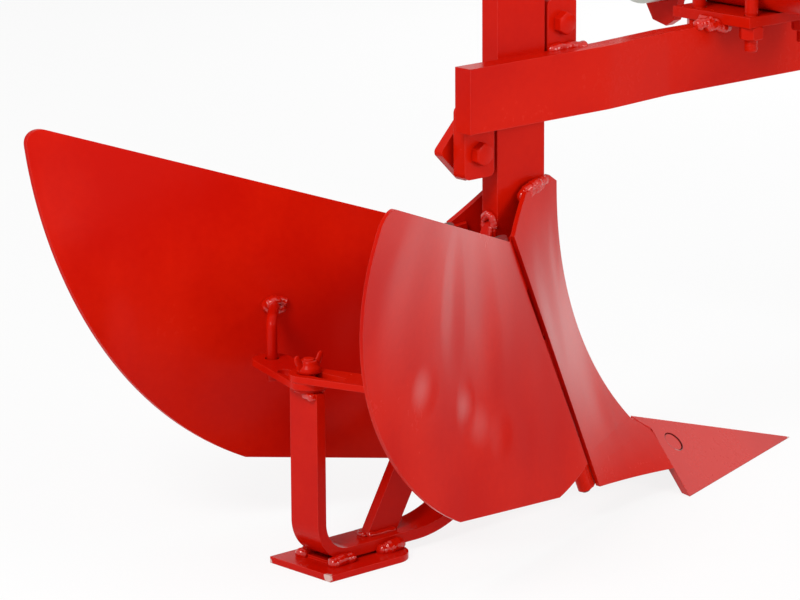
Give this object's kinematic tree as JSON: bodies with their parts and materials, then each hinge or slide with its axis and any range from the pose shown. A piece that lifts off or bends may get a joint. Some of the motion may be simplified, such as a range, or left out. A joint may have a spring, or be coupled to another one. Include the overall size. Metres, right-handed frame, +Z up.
{
  "type": "ridger",
  "caption": "Single-row ridging body with hinged adjustable wings, share and heel, on a round toolbar with a three-point hitch.",
  "frame": {"origin": "on the soil line, midway along and across the machine, on the shank's axis", "axes": "+X is the way of travel, +Y is left, +Z is up"},
  "size_m": [0.7694, 0.813, 0.9582],
  "materials": {
    "red_paint": "gloss",
    "zinc": "satin",
    "bare_steel": "dull"
  },
  "bodies": {
    "frame": {"shank": "red_paint", "draft_arm": "red_paint", "clamp_ear_lower": "red_paint", "clamp_ear_upper": "red_paint", "clamp_strip": "red_paint", "clamp_bolts": "red_paint", "toolbar_tube": "red_paint", "lower_pins": "zinc", "clamp_plate": "red_paint", "u_bolts": "red_paint", "mast_bar_left": "red_paint", "mast_bar_right": "red_paint", "mast_u_bolts": "zinc", "mast_head": "red_paint", "top_link_pin": "zinc", "plough_bolts": "red_paint", "share": "red_paint", "breast": "red_paint", "hinge_pins": "bare_steel", "heel_strap": "red_paint", "heel_plate": "red_paint", "brace": "red_paint", "stay_stud": "red_paint", "wing_nut": "red_paint"},
    "wing_left": {"wing_left": "red_paint", "wing_rod_left": "red_paint"},
    "wing_right": {"wing_right": "red_paint", "wing_rod_right": "red_paint"},
    "stay_left": {"stay_left": "red_paint"},
    "stay_right": {"stay_right": "red_paint"}
  },
  "joints": [
    {"name": "left_wing_hinge", "type": "hinge", "parent": "frame", "child": "wing_left", "pos_m": [-0.04975, 0.03537, 0.27434], "axis": [0.3333, 0.09, -0.9385], "range_deg": [-10, 0]},
    {"name": "right_wing_hinge", "type": "hinge", "parent": "frame", "child": "wing_right", "pos_m": [-0.04975, -0.03537, 0.27434], "axis": [-0.3333, 0.09, 0.9385], "range_deg": [-10, 0]},
    {"name": "left_stay_slide", "type": "slide", "parent": "frame", "child": "stay_left", "axis": [0.0872, 0.9962, 0], "range_m": [-0.0353, 0.0005]},
    {"name": "right_stay_slide", "type": "slide", "parent": "frame", "child": "stay_right", "axis": [0.0872, -0.9962, 0], "range_m": [-0.0353, 0.0005]}
  ],
  "couplings": [
    {"joint": "left_stay_slide", "follows": "left_wing_hinge", "m_per_rad": 0.1995},
    {"joint": "right_stay_slide", "follows": "right_wing_hinge", "m_per_rad": 0.1995}
  ]
}
